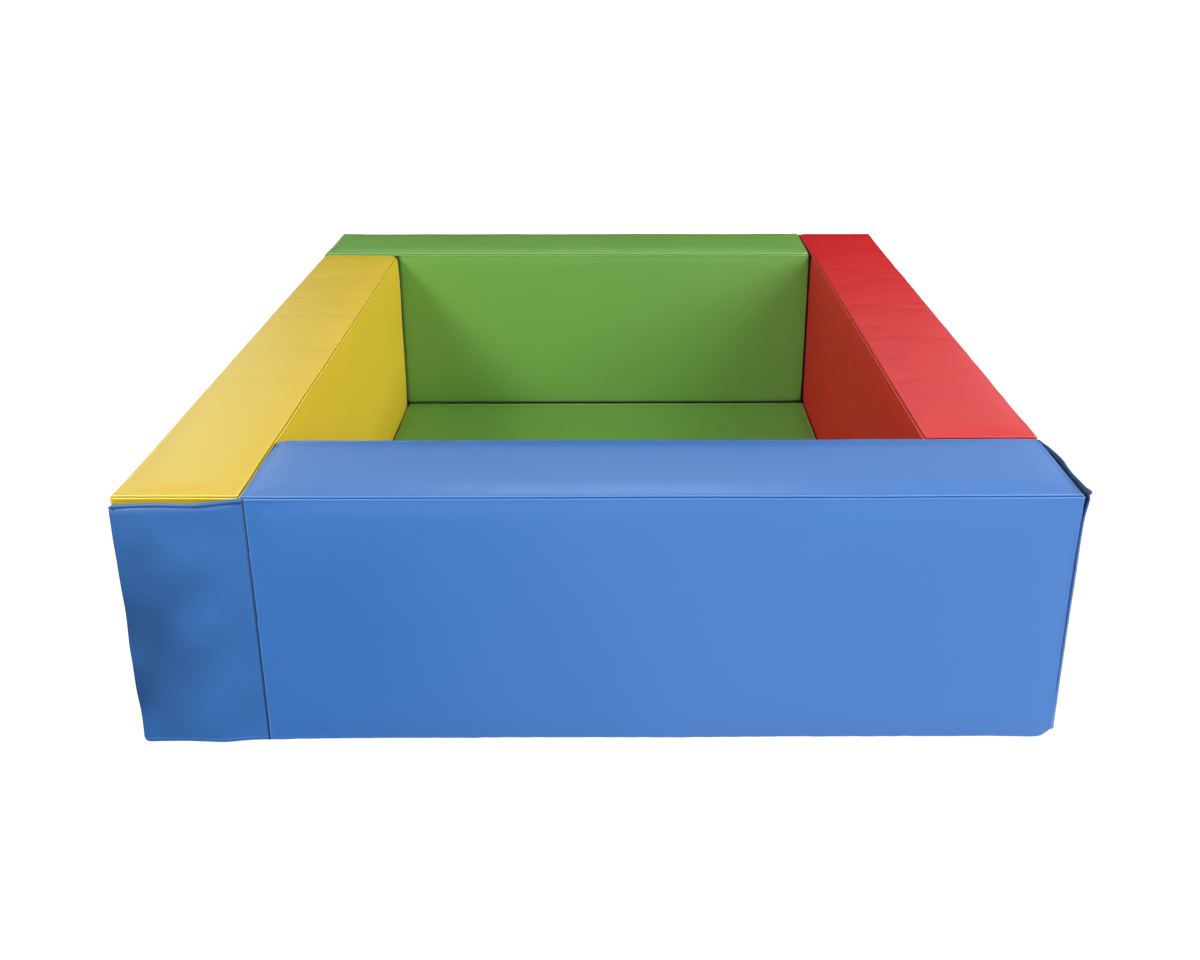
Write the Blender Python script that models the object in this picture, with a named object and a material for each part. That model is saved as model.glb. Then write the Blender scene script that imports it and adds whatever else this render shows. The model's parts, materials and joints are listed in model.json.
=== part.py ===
"""Soft play ball pit: four padded wall blocks laid in a pinwheel round a padded floor mat.

Each block is a foam core in a zipped vinyl cover. A vinyl flap sewn to its outer corner wraps
the end of the next block and grips it with hook-and-loop tape. The origin is on the floor at
the centre of the pit, +Y points from the front wall to the back wall, and +Z is up.
"""

import math

import bmesh
import bpy
from mathutils import Vector

# Overall sizes, in metres
PIT_SIDE = 1.500
WALL_HEIGHT = 0.450
WALL_THICKNESS = 0.200
MAT_THICKNESS = 0.020

# Cloth and clearances
COVER_SKIN = 0.0010
SEAT_GAP = 0.0003
CUT_OVERRUN = 0.004
SAME_PLACE = 0.00001

# How far the wall's faces roll in towards the seams, and over what width
TOP_CROWN = 0.006
OUTER_CROWN = 0.005
OUTER_ROLL = 0.060
SIDE_DRAW = 0.004
SIDE_ROLL = 0.030
SEAM_LIP = 0.010
FOOT_DRAW = 0.003
FOOT_ROLL = 0.018
FOOT_LIP = 0.006
CORNER_SHARE = 0.5

# Floor mat
MAT_CROWN = 0.003
MAT_EDGE_DRAW = 0.0015
MAT_EDGE_ROLL = 0.005
MAT_ZIP_INSET = 0.080

# Joining flap and its hook-and-loop tape
FLAP_THICKNESS = 0.0024
FLAP_EDGE_GAP = 0.0005
FLAP_TOP_GAP = 0.009
FLAP_FOOT_GAP = 0.004
FLAP_BULGE = 0.008
FLAP_FOOT_SHARE = 0.5
FLAP_COLUMNS = 12
FLAP_ROWS = 4
TAPE_WIDTH = 0.050
TAPE_THICKNESS = 0.0015
TAPE_EDGE_GAP = 0.014
TAPE_END_GAP = 0.020
TAPE_BULGE_GAP = 0.008

# Zip
ZIP_END_GAP = 0.100
ZIP_SLOT_WIDTH = 0.0084
ZIP_TAPE_WIDTH = 0.014
ZIP_TAPE_THICKNESS = 0.0006
ZIP_TAPE_OVERLAP = 0.015
ZIP_COIL_WIDTH = 0.0026
ZIP_COIL_HEIGHT = 0.0026
SLIDER_LENGTH = 0.012
SLIDER_PLATE = 0.0012
SLIDER_FOOT_PLATE = 0.0008
SLIDER_CLEARANCE = 0.0003
SLIDER_BRIDGE = 0.0010

# Two faces that meet at more than this angle show a crease
CREASE_ANGLE = math.radians(50)

# Places worked out from the sizes
PIT_HALF = PIT_SIDE / 2
WELL_HALF = PIT_HALF - WALL_THICKNESS
END_SETBACK = 2 * TAPE_THICKNESS + 2 * SEAT_GAP
FLAP_AXIS_X = SIDE_DRAW + FLAP_THICKNESS / 2 - WELL_HALF
FLAP_AXIS_Y = -PIT_HALF - SEAT_GAP - FLAP_THICKNESS / 2
FLAP_LENGTH = PIT_HALF + FLAP_AXIS_X - FLAP_EDGE_GAP
TAPE_CENTRE_OUT = FLAP_LENGTH - TAPE_EDGE_GAP - TAPE_WIDTH / 2
FLAP_BULGE_REACH = TAPE_CENTRE_OUT - TAPE_WIDTH / 2 - TAPE_BULGE_GAP

# Faces of a box, each named by the axis and the side that it looks to
AXES = "xyz"
FACES = ("x-", "x+", "y-", "y+", "z-", "z+")
LEFT, RIGHT, OUTER, INNER, FOOT, TOP = FACES

# Each wall's cover and flap. Every wall is turned a quarter from the one before
WALLS = {
    "front": ("blue_vinyl", "blue_vinyl"),
    "right": ("red_vinyl", "blue_vinyl"),
    "back": ("green_vinyl", "green_vinyl"),
    "left": ("yellow_vinyl", "yellow_vinyl"),
}

# Each material: base colour, roughness and metallic value
FINISHES = {
    "blue_vinyl": ((0.060, 0.200, 0.560), 0.42, 0.0),
    "red_vinyl": ((0.560, 0.020, 0.024), 0.42, 0.0),
    "green_vinyl": ((0.130, 0.360, 0.060), 0.42, 0.0),
    "yellow_vinyl": ((0.760, 0.560, 0.050), 0.42, 0.0),
    "foam": ((0.780, 0.740, 0.600), 0.95, 0.0),
    "hook_tape": ((0.030, 0.080, 0.220), 0.85, 0.0),
    "loop_tape": ((0.035, 0.090, 0.240), 0.95, 0.0),
    "zip_tape": ((0.040, 0.040, 0.045), 0.85, 0.0),
    "zip_metal": ((0.560, 0.560, 0.580), 0.35, 1.0),
}


def clear_scene():
    for obj in list(bpy.data.objects):
        bpy.data.objects.remove(obj, do_unlink=True)


def make_materials():
    materials = {}
    for name, (colour, roughness, metallic) in FINISHES.items():
        material = bpy.data.materials.new(name)
        material.use_nodes = True
        shader = material.node_tree.nodes["Principled BSDF"]
        shader.inputs["Base Color"].default_value = (*colour, 1.0)
        shader.inputs["Roughness"].default_value = roughness
        shader.inputs["Metallic"].default_value = metallic
        materials[name] = material
    return materials


def link(obj, parent, location):
    bpy.context.scene.collection.objects.link(obj)
    obj.parent = parent
    obj.location = location
    return obj


def add_empty(name, parent, location=(0, 0, 0)):
    return link(bpy.data.objects.new(name, None), parent, location)


def add_piece(name, bm, material, parent, location=(0, 0, 0)):
    mesh = bpy.data.meshes.new(name)
    bm.to_mesh(mesh)
    bm.free()
    if material:
        mesh.materials.append(material)
    return link(bpy.data.objects.new(name, mesh), parent, location)


def shade_soft(obj):
    """Smooth shading that keeps the seams as creases."""
    obj.data.shade_smooth()
    obj.data.set_sharp_from_angle(angle=CREASE_ANGLE)


def add_cutter(name, bm, parent, target):
    cutter = add_piece(name, bm, None, parent)
    cutter.hide_render = True
    cutter.display_type = "WIRE"
    cut = target.modifiers.new(name, "BOOLEAN")
    cut.operation = "DIFFERENCE"
    cut.object = cutter
    return cutter


def box(low, high):
    bm = bmesh.new()
    bmesh.ops.create_cube(bm, size=1.0)
    low, high = Vector(low), Vector(high)
    bmesh.ops.scale(bm, vec=high - low, verts=bm.verts)
    bmesh.ops.translate(bm, vec=(low + high) / 2, verts=bm.verts)
    return bm


def bar(outline, length):
    """A prism along +X with this (y, z) outline."""
    bm = bmesh.new()
    face = bm.faces.new([bm.verts.new((0.0, y, z)) for y, z in outline])
    grown = bmesh.ops.extrude_face_region(bm, geom=[face])["geom"]
    ends = [item for item in grown if isinstance(item, bmesh.types.BMVert)]
    bmesh.ops.translate(bm, vec=(length, 0.0, 0.0), verts=ends)
    bmesh.ops.recalc_face_normals(bm, faces=bm.faces)
    return bm


def axis_of(face):
    return AXES.index(face[0])


def side_of(face):
    return -1 if face[1] == "-" else 1


def fall(distance, width):
    """1 at a seam, easing to 0 once this far from it."""
    return max(0.0, 1.0 - distance / width) ** 2


def face_draw(place, face, rolls, low, high):
    """How far a stuffed face lies in from its flat plane here. A seam is drawn in less at a corner."""
    deepest = 0.0
    for border, (depth, width) in rolls[face].items():
        axis = axis_of(border)
        distance = place[axis] - low[axis] if side_of(border) < 0 else high[axis] - place[axis]
        along = AXES.index((set(AXES) - {face[0], border[0]}).pop())
        half = (high[along] - low[along]) / 2
        to_corner = half - abs(place[along] - (low[along] + high[along]) / 2)
        tight = CORNER_SHARE + (1.0 - CORNER_SHARE) * min(1.0, to_corner / half)
        deepest = max(deepest, depth * tight * fall(distance, width))
    return deepest


def stuffed_box(low, high, cuts, rolls, inset=0.0):
    """A closed box whose faces roll in to the seams along its edges. An inset makes what fits inside."""
    bm = box(low, high)
    for axis, places in enumerate(cuts):
        normal = [0.0, 0.0, 0.0]
        normal[axis] = 1.0
        for place in places:
            point = Vector(normal) * place
            geometry = bm.verts[:] + bm.edges[:] + bm.faces[:]
            bmesh.ops.bisect_plane(bm, geom=geometry, plane_co=point, plane_no=normal)
    for vert in bm.verts:
        place = vert.co.copy()
        for face in FACES:
            axis, side = axis_of(face), side_of(face)
            edge = low[axis] if side < 0 else high[axis]
            if math.isclose(place[axis], edge, abs_tol=SAME_PLACE):
                vert.co[axis] -= side * (face_draw(place, face, rolls, low, high) + inset)
    return bm


def even_rolls(depth, width):
    return {f: {b: (depth, width) for b in FACES if b[0] != f[0]} for f in FACES}


def wall_box():
    """Low and high corners of the front wall's flat planes."""
    low = (SEAT_GAP / 2 - WELL_HALF, -PIT_HALF, 0.0)
    high = (PIT_HALF - END_SETBACK, -WELL_HALF - SEAT_GAP / 2, WALL_HEIGHT)
    return low, high


def wall_rolls():
    rolls = even_rolls(SIDE_DRAW, SIDE_ROLL)
    for border in rolls[TOP]:
        rolls[TOP][border] = (TOP_CROWN, WALL_THICKNESS / 2)
    for border in rolls[OUTER]:
        rolls[OUTER][border] = (OUTER_CROWN, OUTER_ROLL)
    for border in rolls[FOOT]:
        rolls[FOOT][border] = (FOOT_DRAW, FOOT_ROLL)
    for face in (LEFT, RIGHT, OUTER, INNER):
        rolls[face][FOOT] = (FOOT_DRAW, FOOT_ROLL)
    # The flap is sewn on here, so the outer face stays flat up to this corner.
    rolls[OUTER][LEFT] = (0.0, OUTER_ROLL)
    return rolls


def both_ends(low, high, *distances):
    """Cuts at these distances from both ends, and one midway."""
    places = [low + distance for distance in distances]
    places += [high - distance for distance in distances]
    return places + [(low + high) / 2]


def wall_shape(inset=0.0):
    low, high = wall_box()
    cuts = (
        both_ends(low[0], high[0], SEAM_LIP, SIDE_ROLL),
        both_ends(low[1], high[1], SEAM_LIP, SIDE_ROLL),
        [FOOT_LIP, FOOT_ROLL, high[2] / 2, high[2] - SIDE_ROLL, high[2] - SEAM_LIP],
    )
    return stuffed_box(low, high, cuts, wall_rolls(), inset)


def mat_shape(inset=0.0):
    half = WELL_HALF - SEAT_GAP
    low, high = (-half, -half, 0.0), (half, half, MAT_THICKNESS)
    across = both_ends(-half, half, SEAM_LIP, SIDE_ROLL)
    rolls = even_rolls(MAT_EDGE_DRAW, MAT_EDGE_ROLL)
    for border in rolls[TOP]:
        rolls[TOP][border] = (MAT_CROWN, SIDE_ROLL)
    cuts = (across, across, [MAT_EDGE_ROLL, MAT_THICKNESS - MAT_EDGE_ROLL])
    return stuffed_box(low, high, cuts, rolls, inset)


def add_skin(cover):
    shade_soft(cover)
    skin = cover.modifiers.new("skin", "SOLIDIFY")
    skin.thickness = COVER_SKIN
    skin.offset = -1.0
    skin.use_even_offset = True


def zip_half_outline(side):
    """One side's tape with its row of coil, seen along the zip from its centre line."""
    foot = COVER_SKIN + SEAT_GAP
    near = SLIDER_BRIDGE / 2 + SLIDER_CLEARANCE
    coil = near + ZIP_COIL_WIDTH
    far = near + ZIP_TAPE_WIDTH
    tape_top = foot + ZIP_TAPE_THICKNESS
    coil_top = foot + ZIP_COIL_HEIGHT
    points = [
        (near, foot),
        (far, foot),
        (far, tape_top),
        (coil, tape_top),
        (coil, coil_top),
        (near, coil_top),
    ]
    return [(side * y, z) for y, z in points]


def slider_outline():
    """The slider wraps both rows of coil: a plate above, one in the slot below, and a bridge between."""
    tape_foot = COVER_SKIN + SEAT_GAP
    plate_low = tape_foot + ZIP_COIL_HEIGHT + SLIDER_CLEARANCE
    plate_top = plate_low + SLIDER_PLATE
    lip_foot = tape_foot + ZIP_TAPE_THICKNESS + SLIDER_CLEARANCE
    lip_in = SLIDER_BRIDGE / 2 + ZIP_COIL_WIDTH + 2 * SLIDER_CLEARANCE
    lip_out = lip_in + SLIDER_PLATE
    bridge = SLIDER_BRIDGE / 2
    foot_top = tape_foot - SLIDER_CLEARANCE
    foot_low = foot_top - SLIDER_FOOT_PLATE
    foot_out = ZIP_SLOT_WIDTH / 2 - SLIDER_CLEARANCE
    half = [
        (bridge, foot_top),
        (bridge, plate_low),
        (lip_in, plate_low),
        (lip_in, lip_foot),
        (lip_out, lip_foot),
        (lip_out, plate_top),
    ]
    right = [(foot_out, foot_low), (foot_out, foot_top)] + half
    return right + [(-y, z) for y, z in reversed(right)]


def slider_top():
    return COVER_SKIN + SEAT_GAP + ZIP_COIL_HEIGHT + SLIDER_CLEARANCE + SLIDER_PLATE


def add_zip(name, cover, foam, parent, start, end, across, materials):
    """A concealed zip along X in a cover's underside, with its slot and its channel in the foam."""
    slot = box(
        (start, across - ZIP_SLOT_WIDTH / 2, -CUT_OVERRUN),
        (end, across + ZIP_SLOT_WIDTH / 2, COVER_SKIN + CUT_OVERRUN),
    )
    add_cutter(f"{name}_zip_slot_cutter", slot, parent, cover)
    half = SLIDER_BRIDGE / 2 + 2 * SLIDER_CLEARANCE + ZIP_TAPE_WIDTH
    reach = ZIP_TAPE_OVERLAP + SLIDER_CLEARANCE
    channel = box(
        (start - reach, across - half, -CUT_OVERRUN),
        (end + reach, across + half, slider_top() + SLIDER_CLEARANCE),
    )
    add_cutter(f"{name}_zip_channel_cutter", channel, parent, foam)
    tape_start = (start - ZIP_TAPE_OVERLAP, across, 0.0)
    tape_length = end - start + 2 * ZIP_TAPE_OVERLAP
    for side, place in ((-1, "outer"), (1, "inner")):
        tape = bar(zip_half_outline(side), tape_length)
        add_piece(f"{name}_zip_tape_{place}", tape, materials["zip_tape"], parent, tape_start)
    slider = bar(slider_outline(), SLIDER_LENGTH)
    slider_start = (start + SLIDER_CLEARANCE, across, 0.0)
    add_piece(f"{name}_zip_slider", slider, materials["zip_metal"], parent, slider_start)


def flap_shape():
    """The flap at rest, from its hinge line along -X. It bulges off the end it wraps, then lies flat."""
    bm = bmesh.new()
    bmesh.ops.create_grid(bm, x_segments=FLAP_COLUMNS, y_segments=FLAP_ROWS, size=0.5)
    foot, top = FLAP_FOOT_GAP, WALL_HEIGHT - FLAP_TOP_GAP
    for vert in bm.verts:
        out_share = vert.co.x + 0.5
        up_share = vert.co.y + 0.5
        out = out_share * FLAP_LENGTH
        turn = math.pi * min(1.0, out / FLAP_BULGE_REACH)
        slack = FLAP_FOOT_SHARE + (1.0 - FLAP_FOOT_SHARE) * up_share
        bulge = FLAP_BULGE * slack * math.sin(turn) ** 2
        vert.co = (-out, -bulge, foot + up_share * (top - foot))
    bmesh.ops.recalc_face_normals(bm, faces=bm.faces)
    return bm


def tape_ends():
    """Foot and top of both strips."""
    return FLAP_FOOT_GAP + TAPE_END_GAP, WALL_HEIGHT - FLAP_TOP_GAP - TAPE_END_GAP


def add_flap(name, parent, vinyl, materials):
    hinge = add_empty(f"{name}_flap_hinge", parent, (FLAP_AXIS_X, FLAP_AXIS_Y, 0.0))
    flap = add_piece(f"{name}_flap", flap_shape(), vinyl, hinge)
    shade_soft(flap)
    plies = flap.modifiers.new("plies", "SOLIDIFY")
    plies.thickness = FLAP_THICKNESS
    plies.offset = 0.0
    plies.use_even_offset = True
    face = FLAP_THICKNESS / 2 + SEAT_GAP
    foot, top = tape_ends()
    low = (-TAPE_CENTRE_OUT - TAPE_WIDTH / 2, face, foot)
    high = (-TAPE_CENTRE_OUT + TAPE_WIDTH / 2, face + TAPE_THICKNESS, top)
    add_piece(f"{name}_flap_hook_strip", box(low, high), materials["hook_tape"], hinge)


def add_loop_strip(name, parent, materials):
    """The strip on the wall's free end, under the hooks of the next wall's flap."""
    centre = FLAP_AXIS_X - TAPE_CENTRE_OUT
    face = PIT_HALF - END_SETBACK + SEAT_GAP
    foot, top = tape_ends()
    low = (face, centre - TAPE_WIDTH / 2, foot)
    high = (face + TAPE_THICKNESS, centre + TAPE_WIDTH / 2, top)
    add_piece(f"{name}_end_loop_strip", box(low, high), materials["loop_tape"], parent)


def add_wall(name, turns, materials):
    cover_finish, flap_finish = WALLS[name]
    frame = add_empty(f"{name}_wall_pull", None)
    frame.rotation_euler.z = turns * math.pi / 2
    cover = add_piece(f"{name}_wall_cover", wall_shape(), materials[cover_finish], frame)
    add_skin(cover)
    core = wall_shape(COVER_SKIN + SEAT_GAP)
    foam = add_piece(f"{name}_wall_foam", core, materials["foam"], frame)
    shade_soft(foam)
    low, high = wall_box()
    across = (low[1] + high[1]) / 2
    ends = (low[0] + ZIP_END_GAP, high[0] - ZIP_END_GAP)
    add_zip(f"{name}_wall", cover, foam, frame, *ends, across, materials)
    add_flap(name, frame, materials[flap_finish], materials)
    add_loop_strip(name, frame, materials)


def add_mat(materials):
    frame = add_empty("floor_mat_frame", None)
    cover = add_piece("floor_mat_cover", mat_shape(), materials["green_vinyl"], frame)
    add_skin(cover)
    core = mat_shape(COVER_SKIN + SEAT_GAP)
    foam = add_piece("floor_mat_foam", core, materials["foam"], frame)
    shade_soft(foam)
    half = WELL_HALF - ZIP_END_GAP
    add_zip("floor_mat", cover, foam, frame, -half, half, WELL_HALF - MAT_ZIP_INSET, materials)


def main():
    clear_scene()
    materials = make_materials()
    for turns, name in enumerate(WALLS):
        add_wall(name, turns, materials)
    add_mat(materials)


main()
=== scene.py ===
"""The look of the padded ball pit: stuffed vinyl covers, sewn flaps, grip tapes, zips, a studio.

It runs as a script, in metres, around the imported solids. The front wall is modelled where it
stands, and the other three walls are the same block turned a quarter at a time about +Z.
"""

import json
import math
from collections import namedtuple
from dataclasses import dataclass

import bmesh
import bpy
import numpy as np
from mathutils import Matrix, Vector


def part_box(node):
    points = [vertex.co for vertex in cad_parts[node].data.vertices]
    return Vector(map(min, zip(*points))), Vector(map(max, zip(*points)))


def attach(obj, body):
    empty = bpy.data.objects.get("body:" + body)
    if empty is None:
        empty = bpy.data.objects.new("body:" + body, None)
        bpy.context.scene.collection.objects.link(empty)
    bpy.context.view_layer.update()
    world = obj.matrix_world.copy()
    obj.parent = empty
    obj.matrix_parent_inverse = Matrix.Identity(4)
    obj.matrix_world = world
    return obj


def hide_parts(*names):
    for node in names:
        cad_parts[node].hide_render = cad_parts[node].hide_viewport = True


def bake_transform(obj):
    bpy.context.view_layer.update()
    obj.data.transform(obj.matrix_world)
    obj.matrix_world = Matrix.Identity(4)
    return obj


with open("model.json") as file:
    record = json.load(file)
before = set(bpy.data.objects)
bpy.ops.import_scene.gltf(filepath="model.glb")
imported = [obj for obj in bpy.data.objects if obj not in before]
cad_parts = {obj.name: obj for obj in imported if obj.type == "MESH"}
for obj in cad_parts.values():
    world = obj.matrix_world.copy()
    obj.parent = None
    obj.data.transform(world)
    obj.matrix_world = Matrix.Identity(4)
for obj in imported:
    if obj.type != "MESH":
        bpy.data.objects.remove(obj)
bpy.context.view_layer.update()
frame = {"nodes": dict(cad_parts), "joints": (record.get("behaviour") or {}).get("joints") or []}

bl_info = {
    "name": "Padded ball pit",
    "version": (1, 0, 0),
    "blender": (4, 5, 0),
    "location": "View3D > Sidebar > Ball pit",
    "description": "Vinyl covers, flaps, tapes and zips of a padded ball pit, and a studio",
    "category": "Add Mesh",
}

# Each wall's cover and flap colours. Every wall is turned a quarter from the one before
WALLS = {
    "front": ("blue", "blue"),
    "right": ("red", "blue"),
    "back": ("green", "green"),
    "left": ("yellow", "yellow"),
}

# How use has changed each block. Three shares of the sizes elsewhere: the edge radius at its
# tucked-in end and at its foot, and how far that end is drawn in. Then how high painted shade
# lies behind the mat, on its inner face
WEAR = {
    "front": (0.5, 0.6, 1.1, 0.0),
    "right": (1.0, 0.6, 1.8, 0.0),
    "back": (1.3, 1.5, 1.8, 0.0175),
    "left": (1.9, 0.6, 1.8, 0.0),
}

# How each flap lies, and how dark its painted shade is
Lie = namedtuple("Lie", (
    "bulge",  # beside its root
    "flare",  # outwards at its free top corner
    "corner",  # rise of that corner
    "lift",  # rise of the top of its root
    "closing",  # inwards at its free edge
    "short",  # rise of its free foot corner
    "dents",  # how far its cloth stands off in soft dents
    "lean",  # of its top, over the soft edge that it covers
    "grime",
))
LIES = {
    "front": Lie(0.004, 0.002, -0.001, 0.008, 0.0030, 0.0, 0.0034, 0.0, 1.0),
    "right": Lie(0.0030, 0.007, 0.017, 0.002, 0.0062, 0.009, 0.0006, 0.004, 0.25),
    "back": Lie(0.004, 0.003, 0.001, 0.004, 0.0030, 0.003, 0.0018, 0.001, 0.3),
    "left": Lie(0.001, -0.001, -0.004, -0.002, 0.0030, 0.003, 0.0008, 0.003, 0.2),
}

# Faces of a box, each named by the axis and the side that it looks to
AXES = "xyz"
FACES = ("x-", "x+", "y-", "y+", "z-", "z+")
LEFT, RIGHT, OUTER, INNER, FOOT, TOP = FACES

COVER_LOW, COVER_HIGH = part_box("front_wall_cover")
FLAP_LOW, FLAP_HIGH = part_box("front_flap")
HOOK_LOW, HOOK_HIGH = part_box("front_flap_hook_strip")
LOOP_LOW, LOOP_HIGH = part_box("front_end_loop_strip")
MAT_LOW, MAT_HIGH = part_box("floor_mat_cover")
HINGE = next(j["pos_m"] for j in frame["joints"] if j["name"] == "front_flap_open")
# Where the next wall's tucked-in end presses on this wall's inner face
PRESSED = -COVER_HIGH.y

# Places across a seam where a cover's mesh is cut, from the stitch line out to the flat of the face
SEAM_CUTS = (0.0, 0.0006, 0.0013, 0.0022, 0.0034, 0.005, 0.0075, 0.011, 0.016, 0.023, 0.032)
MAT_EDGE_CUTS = (0.0, 0.0006, 0.0013, 0.0022, 0.0034, 0.005, 0.0075)
HEM_CUTS = (0.0, 0.0003, 0.0008, 0.0016, 0.003, 0.005, 0.0064, 0.0075, 0.0086, 0.0105, 0.014)
ROOT_CUTS = (-0.0024, -0.0012, 0.0, 0.001, 0.002, 0.003, 0.0045, 0.007)
TAPE_CUTS = (0.0, 0.0003, 0.001, 0.002, 0.0026, 0.0034)

# Across the line on a cover where a flap is sewn on
ROOT_LINE_CUTS = (-0.0013, -0.0006, 0.0, 0.0006, 0.0013, 0.0022)

# Spacing of each mesh between its close cuts
COVER_STEP, MAT_STEP, MAT_EDGE_STEP, FLAP_STEP, TAPE_STEP = 0.010, 0.016, 0.003, 0.0042, 0.008

# Spacing of the simulated cloth's mesh, the frames that it settles for, how much of its move is
# taken, and the most that the foam lets a face move
CLOTH_STEP = 0.018
CLOTH_FRAMES = 20
CLOTH_SHARE = 0.25
CLOTH_SLACK = 0.0018
# Distance from a seam over which it holds the cloth
SEAM_HOLD = 0.03
CLOTH = {
    "quality": 5, "mass": 0.3, "tension_stiffness": 25.0, "compression_stiffness": 25.0,
    "shear_stiffness": 10.0, "bending_stiffness": 1.0, "use_pressure": True,
    "uniform_pressure_force": 4.0, "shrink_min": -0.006, "vertex_group_mass": "held",
    "pin_stiffness": 1.0,
}

# Beside a seam, by the distance from its stitches: dust and painted shade in the groove, a painted
# highlight on the lips, rubbed cloth
DUST_AND_SHADE_BAND = (0.0007, 0.0019)
LIP_HIGHLIGHT_BAND = (0.0026, 0.0044)
RUB_BAND = (0.004, 0.016)
# Place and width of the lips' crests
LIP_PLACE, LIP_WIDTH = 0.0040, 0.0026
# Where painted shade lies in a joint, from its start to its end and then the fade beyond it
JOINT_SHADE_SPAN = (0.0030, 0.010, 0.012)
COVERED_SHADE_SPAN = (0.0032, 0.010, 0.012)
FLAP_SHADE_SPAN = (0.0030, 0.008, 0.022)
# How black the painted shade is, on a joint and on the line of a flap's root
SHADE_DEPTH, ROOT_SHADE_DEPTH = 0.96, 0.15

# Places closer than this are the same
TINY = 1e-6
# Distance over which painted shade sets in where a joint's starts
SHADE_ONSET = 0.0004

# Zip slot in a cover's underside, as the solids have it, and the channel over it in the foam
SLOT_HALF = 0.0042
SLOT_END_GAP = 0.100
MAT_SLOT_INSET = 0.080
MAT_SEAT = 0.0003
CHANNEL_HALF = 0.0160
CHANNEL_TOP = 0.0062
CHANNEL_CLEARANCE = 0.001
CHANNEL_END_GAP = 0.084
# Edge radius of a foam, and its inset from the cover's box
WALL_FOAM = (0.012, (0.008, 0.008, 0.006))
MAT_FOAM = (0.003, (0.026, 0.026, 0.006))


def linear(code):
    """An sRGB hex colour as linear red, green and blue."""
    parts = [int(code[i : i + 2], 16) / 255 for i in (1, 3, 5)]
    return tuple(p / 12.92 if p <= 0.04045 else ((p + 0.055) / 1.055) ** 2.4 for p in parts)


def length_property(name, description, default, low, high):
    return bpy.props.FloatProperty(
        name=name, description=description, default=default, min=low, max=high,
        unit="LENGTH", precision=4)


class PitSizes(bpy.types.PropertyGroup):
    """Sizes of the sewing and stuffing, in metres."""

    edge_radius: length_property(
        "Edge radius", "Radius of a cover's edges over the foam", 0.009, 0.003, 0.03)
    seam_depth: length_property(
        "Seam depth", "How far a seam sinks between its two lips", 0.0020, 0.0, 0.006)
    seam_width: length_property(
        "Seam width", "Half width of the groove over a seam", 0.0012, 0.0003, 0.004)
    lip_rise: length_property(
        "Lip rise", "How far the seam allowance lifts the lips beside a seam", 0.0015, 0.0, 0.003)
    roll_depth: length_property(
        "Edge draw", "How far a face is drawn in towards a seam", 0.0022, 0.0, 0.015)
    roll_width: length_property(
        "Draw width", "Distance from a seam over which a face is drawn in", 0.045, 0.01, 0.08)
    puff: length_property(
        "Puff", "How far the open faces crown beyond their flat planes", 0.0018, 0.0, 0.01)
    corner_pull: length_property(
        "Corner pull", "How far the three seams at a corner draw it in", 0.0036, 0.0, 0.01)
    wander: length_property(
        "Seam wander", "How far a hand-fed seam strays from a straight line", 0.0004, 0.0, 0.004)
    skin: length_property(
        "Vinyl thickness", "Thickness of the coated fabric", 0.0006, 0.0003, 0.001)
    stitch_pitch: length_property(
        "Stitch pitch", "Distance from one stitch to the next", 0.0050, 0.002, 0.008)
    stitch_length: length_property(
        "Stitch length", "Length of the thread seen in one stitch", 0.0028, 0.001, 0.006)
    thread: length_property(
        "Thread", "Diameter of the bonded sewing thread", 0.0005, 0.0002, 0.001)


def colour_property(name, code):
    return bpy.props.FloatVectorProperty(
        name=name, description=f"Base colour of the {name.lower()}",
        subtype="COLOR", size=3, min=0.0, max=1.0, default=linear(code))


class PitColours(bpy.types.PropertyGroup):
    """Base colours of the materials."""

    blue: colour_property("Blue vinyl", "#3973BB")
    red: colour_property("Red vinyl", "#CC1119")
    green: colour_property("Green vinyl", "#6AA045")
    yellow: colour_property("Yellow vinyl", "#DABB28")
    tape: colour_property("Grip tape", "#2D5FA6")
    zip: colour_property("Zip tape", "#1D1E21")
    metal: colour_property("Zip slider", "#C9C7C1")
    foam: colour_property("Foam", "#E4DCC0")
    floor: colour_property("Studio floor", "#C0C0C0")


def set_inputs(tree, node, inputs):
    """Sets each input to a plain value, or links it to another node's output."""
    for name, value in inputs.items():
        if isinstance(value, bpy.types.NodeSocket):
            tree.links.new(value, node.inputs[name])
        else:
            node.inputs[name].default_value = value


def add_node(tree, kind, inputs=None, **settings):
    made = tree.nodes.new(kind)
    for name, value in settings.items():
        setattr(made, name, value)
    set_inputs(tree, made, inputs or {})
    return made


def mix(tree, factor, first, second):
    """The first colour where the factor is 0, and the second where it is 1."""
    return add_node(tree, "ShaderNodeMix", {
        "Factor": factor, 6: first, 7: second}, data_type="RGBA").outputs[2]


def mix_shaders(tree, factor, first, second):
    return add_node(tree, "ShaderNodeMixShader", {
        0: factor, 1: first.outputs[0], 2: second.outputs[0]})


def ramp(tree, value, span, first, last):
    """first up to where the span starts, and last from where it ends."""
    return add_node(tree, "ShaderNodeMapRange", {
        "Value": value, "From Min": span[0], "From Max": span[1],
        "To Min": first, "To Max": last}).outputs[0]


def maths(tree, operation, *values):
    return add_node(
        tree, "ShaderNodeMath", dict(enumerate(values)), operation=operation).outputs[0]


def attribute(tree, name):
    return add_node(tree, "ShaderNodeAttribute", attribute_name=name).outputs["Fac"]


def noise(tree, place, scale, detail):
    return add_node(tree, "ShaderNodeTexNoise", {
        "Vector": place, "Scale": scale, "Detail": detail}).outputs["Fac"]


def cells(tree, place, scale):
    return add_node(tree, "ShaderNodeTexVoronoi", {
        "Vector": place, "Scale": scale}).outputs["Distance"]


def relief(tree, height, strength, depth, invert=False):
    return add_node(tree, "ShaderNodeBump", {
        "Height": height, "Strength": strength, "Distance": depth}, invert=invert).outputs[0]


def blank_tree(owner):
    """The emptied node tree of a material or a world."""
    owner.use_nodes = True
    owner.node_tree.nodes.clear()
    return owner.node_tree


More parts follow.
